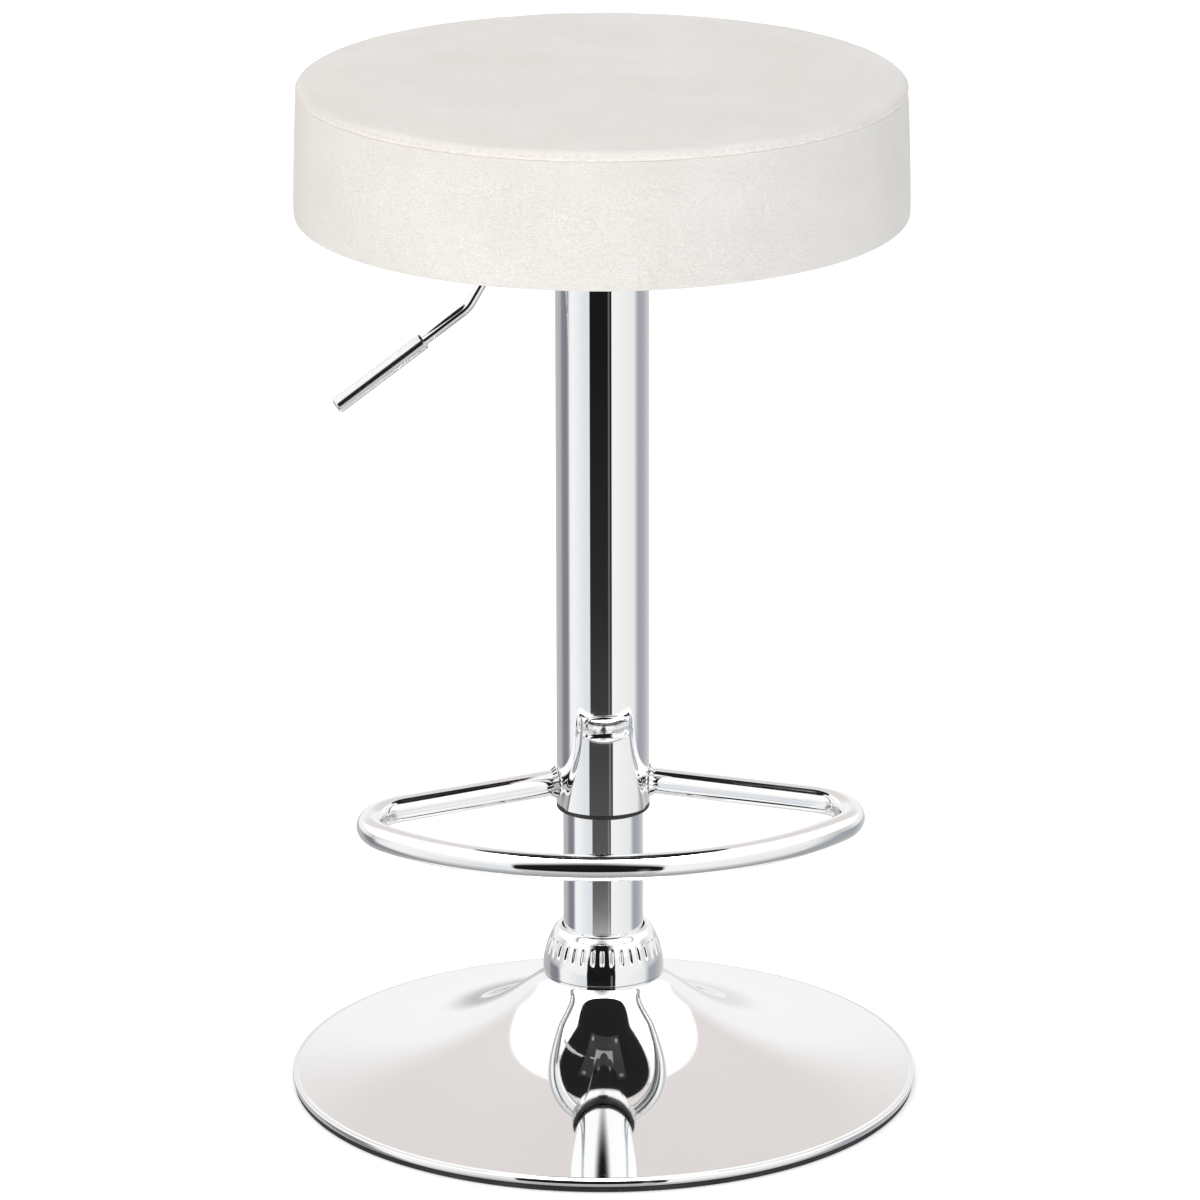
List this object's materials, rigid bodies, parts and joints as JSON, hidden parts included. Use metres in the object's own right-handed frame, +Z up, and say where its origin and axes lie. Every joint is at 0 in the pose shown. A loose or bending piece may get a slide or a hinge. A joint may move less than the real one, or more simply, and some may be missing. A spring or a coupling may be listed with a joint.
{
  "type": "adjustable swivel stool",
  "caption": "Backless bar stool with a round padded seat on a gas lift column, a D-shaped footrest and a round chrome trumpet base.",
  "frame": {"origin": "floor level, on the column's axis", "axes": "+Z up along the column, -Y towards the footrest's front, -X towards the lift lever"},
  "size_m": [0.385, 0.385, 0.6384],
  "materials": {
    "chrome": "mirror polished plating",
    "rubber": "matt black",
    "steel": "plain zinc plated",
    "black_plastic": "moulded, satin",
    "cylinder_paint": "satin black",
    "brass": "machined",
    "lining": "non-woven dust cover",
    "plywood": "raw",
    "foam": "open-cell foam",
    "leatherette": "off-white, fine grain, satin"
  },
  "bodies": {
    "base": {"floor_ring": "rubber", "base_shell": "chrome", "base_plate": "steel", "hub_socket": "steel", "base_collar": "chrome", "lower_column": "chrome", "column_end_plate": "steel", "bearing_lower_race": "steel", "bearing_cage": "brass", "column_guide_bush": "black_plastic"},
    "rod": {"piston_rod": "steel", "rod_clip": "steel", "rod_washer": "steel", "bearing_upper_race": "steel", "rubber_buffer": "rubber", "piston_head": "brass", "piston_seal": "rubber", "piston_nut": "steel"},
    "seat": {"gas_cylinder": "cylinder_paint", "cylinder_gland": "brass", "cover_tube": "chrome", "tube_guide_bush": "black_plastic", "footrest_bracket": "chrome", "footrest_loop": "chrome", "taper_socket": "steel", "lever_housing": "steel", "lever_bracket": "steel", "lever_pivot_pin": "steel", "seat_plate": "steel", "plate_screw_1": "steel", "plate_screw_2": "steel", "plate_screw_3": "steel", "plate_screw_4": "steel", "plate_washer_1": "steel", "plate_washer_2": "steel", "plate_washer_3": "steel", "plate_washer_4": "steel", "t_nut_1": "steel", "t_nut_2": "steel", "t_nut_3": "steel", "t_nut_4": "steel", "seat_board": "plywood", "dust_cover": "lining", "seat_foam": "foam", "seat_cover_top": "leatherette", "seat_cover_band": "leatherette"},
    "lever": {"lever_rod": "chrome", "lever_handle": "chrome"},
    "button": {"release_pin": "steel"}
  },
  "joints": [
    {"name": "seat_swivel", "type": "hinge", "parent": "base", "child": "rod", "pos_m": [0, 0, 0], "axis": [0, 0, 1], "continuous": true},
    {"name": "height_slide", "type": "slide", "parent": "rod", "child": "seat", "axis": [0, 0, 1], "range_m": [-0.04, 0.17]},
    {"name": "lever_lift", "type": "hinge", "parent": "seat", "child": "lever", "pos_m": [-0.022, 0, 0.54], "axis": [0, 1, 0], "range_deg": [0, 7.5], "stiffness_Nm_per_rad": 2, "springref_deg": -20.05},
    {"name": "pin_press", "type": "slide", "parent": "seat", "child": "button", "axis": [0, 0, -1], "range_m": [0, 0.003]}
  ],
  "couplings": [
    {"joint": "pin_press", "follows": "lever_lift", "m_per_rad": 0.022}
  ]
}
